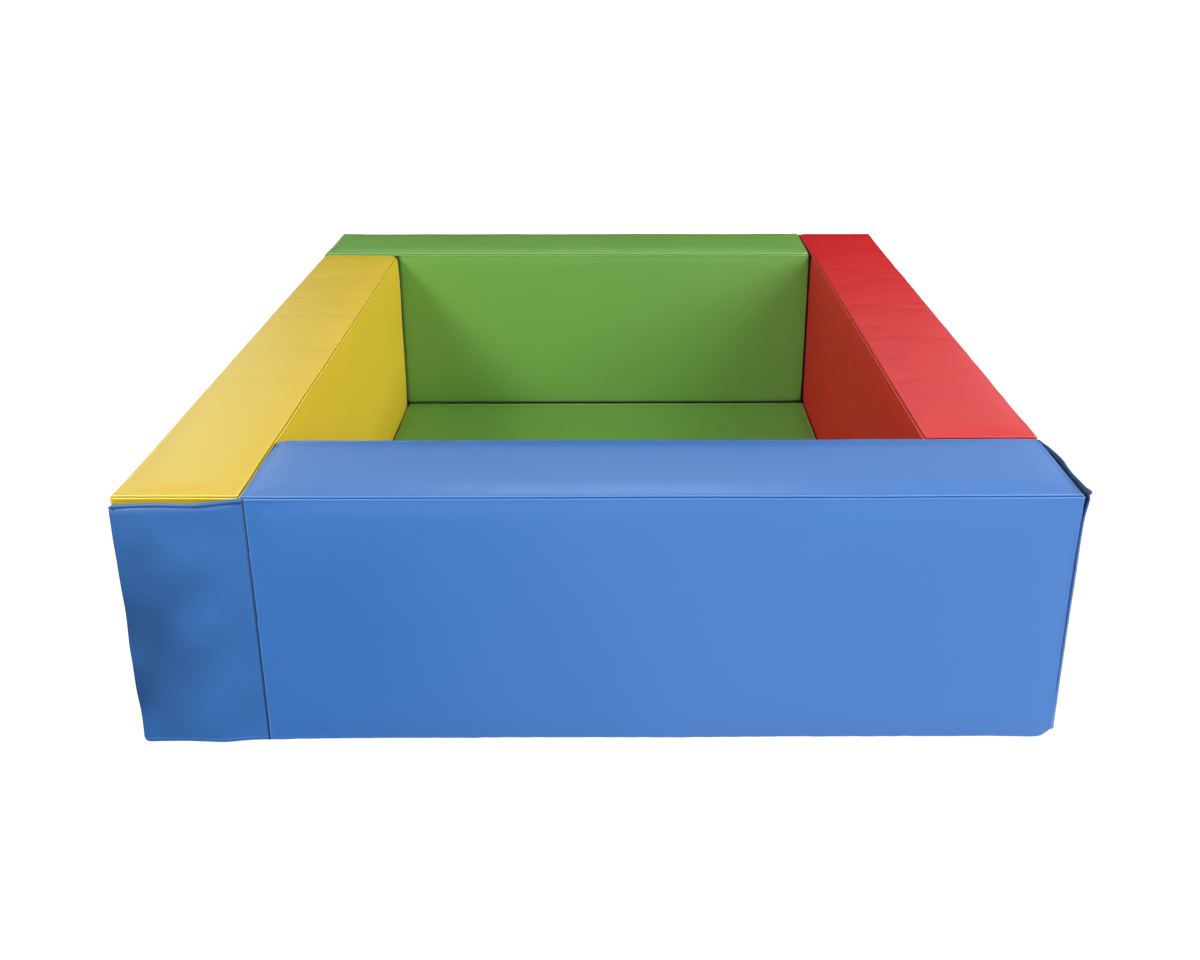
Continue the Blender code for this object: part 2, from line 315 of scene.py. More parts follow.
def object_place(tree):
    return add_node(tree, "ShaderNodeTexCoord").outputs["Object"]


def shade(colour, factor, more=0.0):
    return (*(min(1.0, part * factor + more) for part in colour), 1.0)


def grey(level):
    return (level, level, level, 1.0)


def vinyl(tree, place, colour):
    """PVC-coated polyester, calendered and embossed with a fine leather grain: a satin skin."""
    # The grain is 1 mm on the real cloth, drawn at 1.7 mm so that it shows in the render
    grain = cells(tree, place, 590.0)
    # Slow changes of tone and gloss over the panels, some 200 mm across
    cloud = noise(tree, place, 5.0, 2.0)
    seam = attribute(tree, "seam_distance")
    tone = mix(tree, cloud, shade(colour, 0.97), shade(colour, 1.03))
    # The lips beside a seam are lightened as a painted highlight, and the bottom of the seam is
    # darkened by dust and painted shade
    lips = mix(tree, ramp(tree, seam, LIP_HIGHLIGHT_BAND, 0.7, 0.0), tone, shade(colour, 1.5, 0.08))
    grooved = mix(tree, ramp(tree, seam, DUST_AND_SHADE_BAND, 0.95, 0.0), lips, shade(colour, 0.35))
    # Painted shade darkens a flap's cloth, in a broad patch and over the whole of its back
    worn = mix(tree, attribute(tree, "handled"), grooved, shade(colour, 0.5))
    # Joints between the blocks are painted black, as shade
    shaded_joints = mix(tree, attribute(tree, "dirt"), worn, grey(0.006))
    # Handling has polished the cloth beside a seam
    rub = ramp(tree, seam, RUB_BAND, 0.03, 0.0)
    polished = maths(tree, "SUBTRACT", ramp(tree, cloud, (0.3, 0.7), 0.315, 0.345), rub)
    # The faces that balls and feet rub are scuffed matt
    gloss = maths(tree, "MULTIPLY_ADD", attribute(tree, "scuffed"), 0.3, polished)
    return {
        "Base Color": shaded_joints, "Roughness": gloss,
        "Normal": relief(tree, grain, 0.16, 0.0006, invert=True)}


def woven_tape(tree, place, colour, pitch, pile):
    """Nylon tape: a woven ground with rows of hooks or a brushed pile, matt and a little fuzzy."""
    rows = add_node(tree, "ShaderNodeTexWave", {
        "Vector": place, "Scale": 1.0 / pitch / 3.2, "Distortion": 0.6, "Detail": 1.0},
        bands_direction="Z")
    tufts = cells(tree, place, 1.0 / pitch)
    height = maths(tree, "MULTIPLY", rows.outputs["Fac"], tufts)
    return {
        "Base Color": mix(tree, tufts, shade(colour, 0.55), shade(colour, 1.2)),
        "Normal": relief(tree, height, 0.8, pile), "Roughness": 0.82, "Sheen Weight": 0.25}


def foam_rubber(tree, place, colour):
    """Cut polyurethane foam: open cells about 1 mm wide, dull and slightly yellowed."""
    age = noise(tree, place, 6.0, 3.0)
    return {
        "Base Color": mix(tree, age, shade(colour, 0.85), shade(colour, 1.05)),
        "Normal": relief(tree, cells(tree, place, 900.0), 0.7, 0.0008), "Roughness": 0.95}


def cast_zinc(tree, place, colour):
    """Die-cast zinc, nickel plated: pale, fairly bright, brushed by tumbling."""
    tumbled = noise(tree, place, 900.0, 2.0)
    return {
        "Base Color": (*colour, 1.0), "Metallic": 1.0,
        "Roughness": ramp(tree, tumbled, (0.0, 1.0), 0.24, 0.42),
        "Normal": relief(tree, tumbled, 0.2, 0.0001)}


def thread_finish(tree, place, colour):
    """Bonded polyester thread: two twisted plies with a low sheen."""
    twist = noise(tree, place, 2200.0, 1.0)
    return {
        "Base Color": mix(tree, twist, shade(colour, 0.5), shade(colour, 0.95)),
        "Roughness": 0.55}


# The maker of each finish, its colour's name, and a tape's pitch and pile
FINISHES = {
    "hook_tape": (woven_tape, "tape", 0.0016, 0.0010),
    "loop_tape": (woven_tape, "tape", 0.0009, 0.0005),
    "zip_tape": (woven_tape, "zip", 0.0012, 0.0004),
    "zip_metal": (cast_zinc, "metal"),
    "foam": (foam_rubber, "foam"),
}
COLOURED = {"vinyl": vinyl, "thread": thread_finish}


def finish(name):
    """The named material, made the first time that it is asked for."""
    if name in bpy.data.materials:
        return bpy.data.materials[name]
    kind = name.removeprefix("pit_")
    if kind in FINISHES:
        maker, colour, *more = FINISHES[kind]
    else:
        colour, cloth = kind.split("_")
        maker, more = COLOURED[cloth], ()
    material = bpy.data.materials.new(name)
    tree = blank_tree(material)
    shader = add_node(tree, "ShaderNodeBsdfPrincipled")
    add_node(tree, "ShaderNodeOutputMaterial", {"Surface": shader.outputs[0]})
    base = getattr(bpy.context.scene.pit_colours, colour)
    set_inputs(tree, shader, maker(tree, object_place(tree), base, *more))
    return material


def axis_of(face):
    return AXES.index(face[0])


def side_of(face):
    return -1 if face[1] == "-" else 1


def grid_box(lines):
    """A closed box cut along each axis at these places. The first and last are its faces."""
    bm = bmesh.new()
    bmesh.ops.create_cube(bm, size=1.0)
    for axis, places in enumerate(lines):
        along = [e for e in bm.edges if abs(e.verts[0].co[axis] - e.verts[1].co[axis]) > 0.5]
        if len(places) > 2:
            bmesh.ops.subdivide_edges(bm, edges=along, cuts=len(places) - 2, use_grid_fill=True)
    for vert in bm.verts:
        for axis, places in enumerate(lines):
            vert.co[axis] = places[round((vert.co[axis] + 0.5) * (len(places) - 1))]
    return bm


def spaced(low, high, step, cuts, extra=()):
    """Places from low to high: close together by both ends, and evenly spaced between."""
    first, last = low + cuts[-1], high - cuts[-1]
    count = max(1, round((last - first) / step))
    between = [first + (last - first) * i / count for i in range(1, count)]
    return sorted([low + d for d in cuts] + [high - d for d in cuts] + between + list(extra))


def remove_faces(bm, low, high):
    """Takes out the underside's faces inside this rectangle, for a zip's slot."""
    def inside(vert):
        return abs(vert.co.z) < TINY and all(
            low[axis] - TINY < vert.co[axis] < high[axis] + TINY for axis in (0, 1))

    faces = [face for face in bm.faces if all(inside(vert) for vert in face.verts)]
    bmesh.ops.delete(bm, geom=faces, context="FACES")


def ripples(places, pitch, seed):
    """Smooth noise, mostly within 1 of 0: eight crossing waves of about this pitch."""
    fixed = np.random.default_rng(seed)
    total = np.zeros(len(places))
    for _ in range(8):
        way = fixed.normal(size=3)
        way /= np.linalg.norm(way) * pitch * fixed.uniform(0.6, 1.5)
        total += np.sin(2.0 * math.pi * (places @ way + fixed.uniform()))
    return total / 4.0


def unit(values):
    return np.clip(values, 0.0, 1.0)


def hump(values, centre, width):
    """1 at the centre, falling off smoothly on both sides."""
    return np.exp(-(((values - centre) / width) ** 2))


def band(distance, low, high, fade):
    """1 between these distances, falling to 0 over the fade beyond the second."""
    return unit((distance - low) / SHADE_ONSET) * unit((high + fade - distance) / fade)


def new_object(name, bm, material=None):
    mesh = bpy.data.meshes.new(name)
    bm.to_mesh(mesh)
    bm.free()
    if material:
        mesh.materials.append(material)
    made = bpy.data.objects.new(name, mesh)
    bpy.context.scene.collection.objects.link(made)
    return made


def place_points(bm, places, **layers):
    """Moves a mesh's points, and keeps a value for each in the layers that the materials read."""
    made = {name: bm.verts.layers.float.new(name) for name in layers}
    for index, (vert, place) in enumerate(zip(bm.verts, places)):
        vert.co = place
        for name, values in layers.items():
            vert[made[name]] = values[index]


@dataclass
class Stuffing:
    """How a sewn cover lies over its foam: soft edges, a sunk seam along each, faces that crown."""

    low: Vector
    high: Vector
    radius: tuple  # along the edges, at the tucked-in end, at the open end and at the foot
    crowns: dict  # how far each face bulges
    draw: dict  # how far each face is drawn in towards its seams
    scuffed: str  # the face that balls and feet rub
    root: float = None  # where a flap is sewn on
    seed: int = 1
    scale: float = 1.0  # of the seams and the unevenness
    dirt: float = 0.0  # how high painted shade lies on the inner face, behind the mat

    # Distances along the cover and up it over which an end's and the foot's radius eases
    END_EASE, FOOT_EASE = 0.05, 0.03
    # Folds by a corner: their height, their reach and how far from the corner they start
    FOLD, FOLD_REACH, FOLD_START = 0.0006, 0.035, 0.012
    # Heights of the slow unevenness, of the puckers by a seam and of the creases by the next wall
    FULLNESS, PUCKER, CREASE = 0.0003, 0.00022, 0.0012
    # Distances over which puckers, a seam's wander and a corner's draw fade
    PUCKER_REACH, WANDER_REACH, CORNER_REACH = 0.012, 0.028, 0.03

    def __post_init__(self):
        self.low, self.high = np.array(self.low), np.array(self.high)
        self.sizes = bpy.context.scene.pit_sizes
        self.moves = {}

    def settle(self):
        """Blows up a coarse cloth of the cover between its seams, and keeps each face's moves."""
        lines = [
            np.linspace(low, high, round((high - low) / CLOTH_STEP) + 1)
            for low, high in zip(self.low, self.high)]
        bm = grid_box(lines)
        flat = np.array([v.co for v in bm.verts])
        cloth = new_object("cover_cloth", bm)
        scene = bpy.context.scene
        # Seams hold the cloth fast, but for short lengths of each that the thread has let go
        loose = unit(ripples(flat, 0.09, self.seed + 100))
        held = 1.0 - unit(self.seam_distance(flat) / SEAM_HOLD)
        held = np.maximum(held * (1.0 - 0.2 * loose), 0.02)
        group = cloth.vertex_groups.new(name="held")
        for index, weight in enumerate(held):
            group.add([index], weight, "REPLACE")
        modifier = cloth.modifiers.new("cloth", "CLOTH")
        for name, value in CLOTH.items():
            setattr(modifier.settings, name, value)
        modifier.settings.effector_weights.gravity = 0.0
        modifier.point_cache.frame_start, modifier.point_cache.frame_end = 1, CLOTH_FRAMES
        for frame_number in range(1, CLOTH_FRAMES + 1):
            scene.frame_set(frame_number)
        settled = cloth.evaluated_get(bpy.context.evaluated_depsgraph_get()).data
        moves = np.array([v.co for v in settled.vertices]) - flat
        bpy.data.objects.remove(cloth)
        scene.frame_set(1)
        for face in FACES:
            on = np.nonzero(self.on_face(flat, face))[0]
            wide, tall = [axis for axis in range(3) if axis != axis_of(face)]
            order = on[np.lexsort((flat[on, tall].round(6), flat[on, wide].round(6)))]
            self.moves[face] = moves[order].reshape(len(lines[wide]), len(lines[tall]), 3)
        return self

    def moved(self, flat):
        """How far the simulation moves each point, within the slack that the foam leaves."""
        total = np.zeros_like(flat)
        for face, moves in self.moves.items():
            on = self.on_face(flat, face)
            wide, tall = [axis for axis in range(3) if axis != axis_of(face)]
            share = unit((flat[on] - self.low) / (self.high - self.low))
            a, b = share[:, wide] * (moves.shape[0] - 1), share[:, tall] * (moves.shape[1] - 1)
            i = np.minimum(a.astype(int), moves.shape[0] - 2)
            j = np.minimum(b.astype(int), moves.shape[1] - 2)
            u, v = (a - i)[:, None], (b - j)[:, None]
            u, v = u * u * (3.0 - 2.0 * u), v * v * (3.0 - 2.0 * v)
            low_side = moves[i, j] * (1.0 - v) + moves[i, j + 1] * v
            high_side = moves[i + 1, j] * (1.0 - v) + moves[i + 1, j + 1] * v
            total[on] = low_side * (1.0 - u) + high_side * u
        total *= CLOTH_SHARE
        length = np.linalg.norm(total, axis=1)[:, None]
        quiet = self.on_face(flat, INNER) | self.on_face(flat, FOOT)
        slack = CLOTH_SLACK * np.where(quiet, 0.4, 1.0)[:, None]
        # The seams themselves hardly give
        free = np.clip(self.seam_distance(flat) / 0.025, 0.1, 1.0)
        free[self.on_face(flat, RIGHT) | self.on_face(flat, LEFT)] = 0.0
        free *= unit((self.high[0] - flat[:, 0]) / SEAM_HOLD)
        if self.root is not None:
            by_root = unit(np.abs(flat[:, 0] - self.root) / SEAM_HOLD)
            free *= np.where(self.on_face(flat, OUTER), by_root, 1.0)
        return total * (slack * np.tanh(length / slack) / np.maximum(length, 1e-9)) * free[:, None]

    def on_face(self, flat, face):
        plane = (self.low if side_of(face) < 0 else self.high)[axis_of(face)]
        return np.abs(flat[:, axis_of(face)] - plane) < TINY

    def borders(self, flat, face):
        """(border, distance to its seam, distance along it to the nearer corner) of a face."""
        gaps = {-1: flat - self.low, 1: self.high - flat}
        nearer = np.minimum(gaps[-1], gaps[1])
        for border in FACES:
            axis = axis_of(border)
            if axis != axis_of(face):
                along = 3 - axis_of(face) - axis
                yield border, gaps[side_of(border)][:, axis], nearer[:, along]

    def seam_distance(self, flat):
        """Distance over the surface to the nearest seam, a flap's own included."""
        nearest = np.full(len(flat), 1.0)
        for face in FACES:
            on = self.on_face(flat, face)
            for _, distance, _ in self.borders(flat, face):
                nearest[on] = np.minimum(nearest, distance)[on]
            if face == OUTER and self.root is not None:
                nearest[on] = np.minimum(nearest, np.abs(flat[:, 0] - self.root))[on]
        return nearest

    def rise(self, flat, face):
        """How far a face lies beyond its flat plane, apart from its seams."""
        s, own = self.sizes, axis_of(face)
        crown, sink, fold = self.crowns.get(face, 0.0), 0.0, 0.0
        for axis in range(3):
            if axis != own:
                share = (flat[:, axis] - self.low[axis]) / (self.high[axis] - self.low[axis])
                crown = crown * unit(4.0 * share * (1.0 - share)) ** 0.6
        for border, distance, to_corner in self.borders(flat, face):
            tight = 0.4 + 0.6 * unit(to_corner / 0.12)
            drawn = self.draw.get(face, 0.0) * tight
            sink = np.maximum(sink, drawn * unit(1.0 - distance / s.roll_width) ** 2)
            # Small folds fan out from each corner, where two seams pull
            turn = np.arctan2(distance, to_corner)
            reach = np.hypot(distance, to_corner)
            fan = np.sin(9.0 * turn + self.seed + axis_of(border)) * np.sin(2.0 * turn)
            near = np.exp(-reach / self.FOLD_REACH)
            fold = fold + self.FOLD * fan * near * unit(reach / self.FOLD_START)
        return crown - self.scale * (sink - fold)

    def surface(self, flat):
        """Places on the cover of points on the flat box, and the way that it looks there."""
        s = self.sizes
        edge, tucked, open_end, foot = self.radius
        radius = edge + (tucked - edge) * np.exp((self.low[0] - flat[:, 0]) / self.END_EASE)
        radius += (open_end - edge) * np.exp((flat[:, 0] - self.high[0]) / self.END_EASE)
        radius = (radius + (foot - edge) * np.exp(-flat[:, 2] / self.FOOT_EASE))[:, None]
        core = np.clip(flat, self.low + radius, self.high - radius)
        out = np.tan((flat - core) / radius * math.pi / 4.0)
        out /= np.linalg.norm(out, axis=1)[:, None]
        seam = self.seam_distance(flat)
        height = np.zeros(len(flat))
        for face in FACES:
            on = self.on_face(flat, face)
            height[on] = self.rise(flat, face)[on]
        wave = ripples(flat, 0.05, self.seed)
        lips = s.lip_rise * (1.0 + 0.25 * wave) * hump(seam, LIP_PLACE, LIP_WIDTH)
        groove = s.seam_depth * hump(seam, 0.0, s.seam_width)
        full = self.FULLNESS * self.scale * ripples(flat, 0.16, self.seed + 20)
        height += self.scale * (lips - groove) + full
        # Puckers run across the seams, where the thread gathers the cloth
        gather = ripples(flat, 0.022, self.seed + 40) * np.exp(-seam / self.PUCKER_REACH)
        height += self.PUCKER * self.scale * gather
        # The vinyl creases where the next wall's end is pushed against it
        if self.root is not None:
            pressed = hump(flat[:, 0], PRESSED, 0.009) * self.on_face(flat, INNER)
            height -= self.CREASE * pressed * (1.0 + ripples(flat, 0.018, self.seed + 80))
        stray = np.stack([ripples(flat, 0.30, self.seed + 60 + axis) for axis in range(3)], axis=1)
        stray *= (s.wander * self.scale * np.exp(-seam / self.WANDER_REACH))[:, None]
        # Each corner is drawn in where three seams meet, but not where the flap is sewn on
        inwards = np.sign((self.low + self.high) / 2.0 - flat)
        to_corner = np.linalg.norm(np.minimum(flat - self.low, self.high - flat), axis=1)
        share = (flat - self.low) / (self.high - self.low)
        free = 1.0
        if self.root is not None:
            # The foot of the free end is the most worn
            worn = 1.7 * share[:, 0] * (1.0 - share[:, 2]) ** 2 * hump(to_corner, 0.0, 0.016)
            free = share[:, 1] * (1.0 - 0.6 * share[:, 0]) + worn
        pull = s.corner_pull * self.scale * free * np.exp(-to_corner / self.CORNER_REACH)
        stray += inwards * pull[:, None]
        return core + out * (radius + height[:, None]) + stray + self.moved(flat), out

    def shape(self, bm):
        """Moves a box's mesh to the stuffed form, with its scuffs and the painted shade in its
        joints.
        """
        flat = np.array([v.co for v in bm.verts])
        places, _ = self.surface(flat)
        places[:, 2] = np.maximum(places[:, 2], 0.0)
        seam = self.seam_distance(flat)
        scuffs = self.on_face(flat, self.scuffed) * unit(seam / 0.02)
        # Shade is painted black in the joints: behind the mat, by the tucked-in end and by the next
        # wall's end
        dirt = np.zeros(len(flat))
        if self.root is not None:
            covered = np.minimum(flat[:, 0] - PRESSED, self.high[2] - flat[:, 2] - 0.003)
            by_foot = unit((self.dirt - flat[:, 2]) / 0.0015)
            dirt = self.on_face(flat, INNER) * np.maximum(by_foot, band(covered, *COVERED_SHADE_SPAN))
            dirt += self.on_face(flat, LEFT) * band(seam, *JOINT_SHADE_SPAN) * (flat[:, 2] > 0.02)
        place_points(bm, places, seam_distance=seam, scuffed=scuffs, dirt=SHADE_DEPTH * dirt)


def quarters(turns):
    return Matrix.Rotation(turns * math.pi / 2, 3, "Z")


def add_piece(name, bm, material, turns=0):
    """A smooth object from this mesh, turned by so many quarters about the pit's middle."""
    bmesh.ops.rotate(bm, verts=bm.verts, cent=(0, 0, 0), matrix=quarters(turns))
    piece = new_object(name, bm, finish(material))
    piece.data.shade_smooth()
    return piece


def wall_stuffing(turns):
    """The front wall's cover, with the wear and the puckers of the wall so many quarters on."""
    s = bpy.context.scene.pit_sizes
    crowns = {TOP: s.puff, OUTER: s.puff, INNER: s.puff * 0.5}
    tucked, foot, drawn, dirt = list(WEAR.values())[turns]
    draw = {face: s.roll_depth for face in FACES}
    draw |= {LEFT: s.roll_depth * drawn, RIGHT: s.roll_depth * 0.8}
    radius = [s.edge_radius * share for share in (1.0, tucked, 0.6, foot)]
    return Stuffing(
        COVER_LOW, COVER_HIGH, radius, crowns, draw, INNER, HINGE[0], seed=turns + 1, dirt=dirt)


def slotted_box(low, high, step, edge_step, edge_cuts, across, seat=0.0, extra=()):
    """A cut-up box, without the faces of its underside where the zip's slot is."""
    ends = (low.x + SLOT_END_GAP - seat, high.x - SLOT_END_GAP + seat)
    sides = (across - SLOT_HALF, across + SLOT_HALF)
    bm = grid_box((
        spaced(low.x, high.x, step, SEAM_CUTS, extra=[*ends, *extra]),
        spaced(low.y, high.y, step, SEAM_CUTS, extra=sides),
        spaced(low.z, high.z, edge_step, edge_cuts),
    ))
    remove_faces(bm, (ends[0], sides[0]), (ends[1], sides[1]))
    return bm


def thicken(piece):
    skin = piece.modifiers.new("vinyl", "SOLIDIFY")
    skin.thickness = bpy.context.scene.pit_sizes.skin
    skin.offset = -1.0


class PIT_OT_wall_covers(bpy.types.Operator):
    """Four stuffed vinyl covers, with their zip slots"""

    bl_idname = "pit.wall_covers"
    bl_label = "Wall covers"

    def execute(self, context):
        middle = (COVER_LOW.y + COVER_HIGH.y) / 2
        root_line = [HINGE[0] + distance for distance in ROOT_LINE_CUTS]
        for turns, (name, (colour, _)) in enumerate(WALLS.items()):
            bm = slotted_box(
                COVER_LOW, COVER_HIGH, COVER_STEP, COVER_STEP, SEAM_CUTS, middle, extra=root_line)
            stuffing = wall_stuffing(turns)
            (stuffing.settle()).shape(bm)
            cover = add_piece(f"{name}_wall_vinyl", bm, f"pit_{colour}_vinyl", turns)
            thicken(cover)
            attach(cover, f"{name}_wall")
            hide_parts(f"{name}_wall_cover")
        return {"FINISHED"}


class PIT_OT_floor_mat(bpy.types.Operator):
    """The thin padded mat in the well"""

    bl_idname = "pit.floor_mat"
    bl_label = "Floor mat"

    def execute(self, context):
        across = MAT_HIGH.y - (MAT_SLOT_INSET - MAT_SEAT)
        bm = slotted_box(
            MAT_LOW, MAT_HIGH, MAT_STEP, MAT_EDGE_STEP, MAT_EDGE_CUTS, across, MAT_SEAT)
        radius = (0.005, 0.005, 0.005, 0.003)
        draw = {TOP: 0.015, INNER: 0.018} | {side: 0.011 for side in (LEFT, RIGHT, OUTER)}
        Stuffing(
            MAT_LOW, MAT_HIGH, radius, {TOP: -0.002}, draw, TOP, seed=7, scale=0.6).shape(bm)
        mat = add_piece("floor_mat_vinyl", bm, "pit_green_vinyl")
        thicken(mat)
        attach(mat, "floor_mat")
        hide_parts("floor_mat_cover")
        return {"FINISHED"}


class PIT_OT_foam_cores(bpy.types.Operator):
    """A foam core inside each cover, with a channel for the zip"""

    bl_idname = "pit.foam_cores"
    bl_label = "Foam cores"

    def core(self, low, high, across, name, body, turns, foam):
        """A block of foam with soft corners, and a channel along its underside."""
        ends = (low.x + CHANNEL_END_GAP, high.x - CHANNEL_END_GAP)
        edge, inset = foam
        box_low, box_high = low + Vector(inset), high - Vector(inset)
        bm = bmesh.new()
        bmesh.ops.create_cube(bm, size=1.0)
        bmesh.ops.scale(bm, vec=box_high - box_low, verts=bm.verts)
        bmesh.ops.translate(bm, vec=(box_high + box_low) / 2, verts=bm.verts)
        bmesh.ops.bevel(
            bm, geom=bm.edges[:], affect="EDGES", offset=edge, segments=3, profile=0.5, material=-1)
        for axis, places in ((0, ends), (1, (across - CHANNEL_HALF, across + CHANNEL_HALF))):
            for place in places:
                point, normal = Vector((0, 0, 0)), Vector((0, 0, 0))
                point[axis], normal[axis] = place, 1.0
                geometry = bm.verts[:] + bm.edges[:] + bm.faces[:]
                bmesh.ops.bisect_plane(bm, geom=geometry, plane_co=point, plane_no=normal)
        under = [
            face for face in bm.faces
            if face.normal.z < -0.9
            and ends[0] < face.calc_center_median().x < ends[1]
            and abs(face.calc_center_median().y - across) < CHANNEL_HALF
        ]
        grown = bmesh.ops.extrude_face_region(bm, geom=under)["geom"]
        bmesh.ops.delete(bm, geom=under, context="FACES_ONLY")
        raised = [item for item in grown if isinstance(item, bmesh.types.BMVert)]
        rise = CHANNEL_TOP - box_low.z + CHANNEL_CLEARANCE
        bmesh.ops.translate(bm, vec=(0, 0, rise), verts=raised)
        foam = add_piece(f"{name}_core", bm, "pit_foam", turns)
        foam.data.set_sharp_from_angle(angle=math.radians(40))
        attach(foam, body)
        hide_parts(f"{name}_foam")

    def execute(self, context):
        middle = (COVER_LOW.y + COVER_HIGH.y) / 2
        for turns, name in enumerate(WALLS):
            wall = f"{name}_wall"
            self.core(COVER_LOW, COVER_HIGH, middle, wall, wall, turns, WALL_FOAM)
        across = MAT_HIGH.y - MAT_SLOT_INSET
        self.core(MAT_LOW, MAT_HIGH, across, "floor_mat", "floor_mat", 0, MAT_FOAM)
        return {"FINISHED"}


class Flap:
    """The joining flap's cloth: out is the distance from its sewn edge, up that above the floor."""

    STITCH = 0.0075
    # Half the cloth's thickness at distances from its hemmed edges
    HEM = ((0.0, 0.0003), (0.0004, 0.0011), (0.001, 0.0017), (0.003, 0.0020), (0.0062, 0.0018),
           (STITCH, 0.0009), (0.0088, 0.0012), (1.0, 0.0012))
    CORNER = 0.009
    # How far the top hem rolls out and its stitches pull in, and the cloth tucks in at its root
    ROLL = TUCK = 0.0026
    # Distances from the root over which the roll and the dents set in
    ROLL_EASE, DENT_EASE = 0.03, 0.07
    # Room that the bulge leaves beside the hook strip, and how long the flare takes to set in there
    HOOK_ROOM, FLARE_EASE = 0.008, 0.012
    # Places across the cloth from the root's cuts to the hem's, both counted
    COLUMNS = 52
    # Distance from a stitch line beyond which the vinyl has no lips, and that of the stitches' own
    NO_LIPS, ON_STITCH = 0.0013, 0.0005

    def __init__(self, name, seed):
        self.lie = LIES[name]
        self.seed = seed
        self.length = FLAP_HIGH.x - FLAP_LOW.x
        self.foot, self.top = FLAP_LOW.z, FLAP_HIGH.z
        self.flat_from = HINGE[0] - HOOK_HIGH.x - self.HOOK_ROOM

    def hem_distance(self, out, up):
        return np.minimum(np.minimum(self.length - out, up - self.foot), self.top - up)

    def point(self, out, up):
        """The middle of the cloth, in the front wall's place."""
        lie = self.lie
        # The free corners are cut round
        trim = np.maximum(self.CORNER - (self.length - out), 0.0)
        for rim, sign in ((self.top, 1.0), (self.foot, -1.0)):
            over = np.maximum(self.CORNER - (rim - up) * sign, 0.0)
            longest, reach = np.maximum(trim, over), np.hypot(trim, over)
            scale = np.where((trim > 0) & (over > 0), longest / np.maximum(reach, 1e-9), 1.0) - 1.0
            out, up = out + trim * scale, up + sign * over * scale
        share = (up - self.foot) / (self.top - self.foot)
        turn = math.pi * unit(out / self.flat_from)
        bulge = lie.bulge * (0.4 + 0.6 * share) * np.sin(turn) ** 2
        free = unit((out - (HINGE[0] - HOOK_LOW.x)) / self.FLARE_EASE)
        lifted = np.exp((up - self.top) / 0.028)
        low = (1.0 - share) ** 3
        flare = lie.flare * lifted - lie.closing * (1.0 - lifted) - 0.35 * lie.short * low
        flare = flare * free ** 2
        flat = np.stack([out, up, np.zeros_like(out)], axis=1)
        ease = unit(out / self.ROLL_EASE) ** 2
        dents = 1.0 + ripples(flat, 0.15, self.seed) + 0.12 * ripples(flat, 0.05, self.seed + 9)
        dents = lie.dents * dents
        tuck = self.TUCK * np.clip(1.0 - out / 0.0016, 0.0, 1.8) ** 2
        # The top hem is folded thick: it rolls outwards above its stitches, which pull the cloth in
        below = self.top - up
        roll = self.ROLL * hump(below, 0.0025, 0.0026)
        roll = roll - self.ROLL * hump(below, 0.0082, 0.0022)
        lean = lie.lean * hump(below, 0.0, 0.014) * unit((out - 0.09) / 0.05)
        # The cloth is flat by its root, so that the opened flap clears its own wall
        loose = unit(out / self.DENT_EASE) ** 2
        y = HINGE[1] - bulge - flare - roll * ease + tuck + lean
        y = y - np.maximum(dents, -0.0003) * loose
        x = HINGE[0] - out
        z = up + share * (lie.lift + (lie.corner - lie.lift) * out / self.length)
        z = z + lie.short * low * out / self.length
        return np.stack([x, y, z], axis=1)

    def surface(self, out, up, side):
        """Places on the cloth's outer face, where side is -1, or its inner one, where it is 1."""
        step = 0.0005
        along = self.point(out + step, up) - self.point(out - step, up)
        upward = self.point(out, up + step) - self.point(out, up - step)
        normal = np.cross(upward, along)
        normal /= np.linalg.norm(normal, axis=1)[:, None]
        hem = np.array(self.HEM)
        half = np.interp(self.hem_distance(out, up), hem[:, 0], hem[:, 1])
        return self.point(out, up) - normal * (half * side)[:, None], normal

    def mesh(self):
        between = np.linspace(ROOT_CUTS[-1], self.length - HEM_CUTS[-1], self.COLUMNS)[1:-1]
        outs = sorted({*(self.length - d for d in HEM_CUTS), *ROOT_CUTS, *between})
        ups = spaced(self.foot, self.top, FLAP_STEP, HEM_CUTS)
        bm = grid_box((outs, (-1.0, 1.0), ups))
        flat = np.array([v.co for v in bm.verts])
        out, side, up = flat.T
        places, _ = self.surface(out, up, side)
        across, high = out / self.length, (up - self.foot) / (self.top - self.foot)
        # Painted shade: a broad dark patch near the free edge, a little below the middle, over an
        # even darkening
        grime = 0.24 + 0.86 * np.exp(-(((across - 0.98) / 0.46) ** 2) - ((high - 0.40) / 0.36) ** 2)
        grime = self.lie.grime * grime
        grime = grime * (1.0 + 0.35 * ripples(flat * (1.0, 0.0, 1.0), 0.11, self.seed + 30))
        # Its back is darkened fully, as painted shade in the gap behind the flap
        grime = unit(np.where(side > 0, 1.0, grime))
        distances = np.abs(self.hem_distance(out, up) - self.STITCH) + self.ON_STITCH
        # The fold's own shadow fills the valley under the top hem, and the seam at the root
        below = self.top - up
        under_hem = np.minimum(np.abs(below - self.STITCH) * 0.4, np.abs(out) * 0.6)
        distances = np.where(side < 0, np.minimum(distances, under_hem), distances)
        distances = np.where(distances > self.NO_LIPS, 1.0, distances)
        # Shade is painted black behind the flap's top, and a little on the line of its root
        dirt = np.where(side > 0, SHADE_DEPTH * band(below, *FLAP_SHADE_SPAN), 0.0)
        dirt = np.where((side < 0) & (out < 0.0012), ROOT_SHADE_DEPTH, dirt)
        place_points(bm, places, seam_distance=distances, handled=grime, dirt=dirt)
        bmesh.ops.recalc_face_normals(bm, faces=bm.faces)
        return bm

    def stitch_route(self, pitch):
        """(out, up, whether it runs upright) of each stitch, along foot, free edge and top."""
        right, left = 0.008, self.length - self.STITCH
        low, high = self.foot + self.STITCH, self.top - self.STITCH
        corners = ((right, low), (left, low), (left, high), (right, high))
        for (out_a, up_a), (out_b, up_b) in zip(corners, corners[1:]):
            count = int(math.hypot(out_b - out_a, up_b - up_a) / pitch)
            for i in range(count):
                share = (i + 0.5) / count
                yield out_a + (out_b - out_a) * share, up_a + (up_b - up_a) * share, out_a == out_b


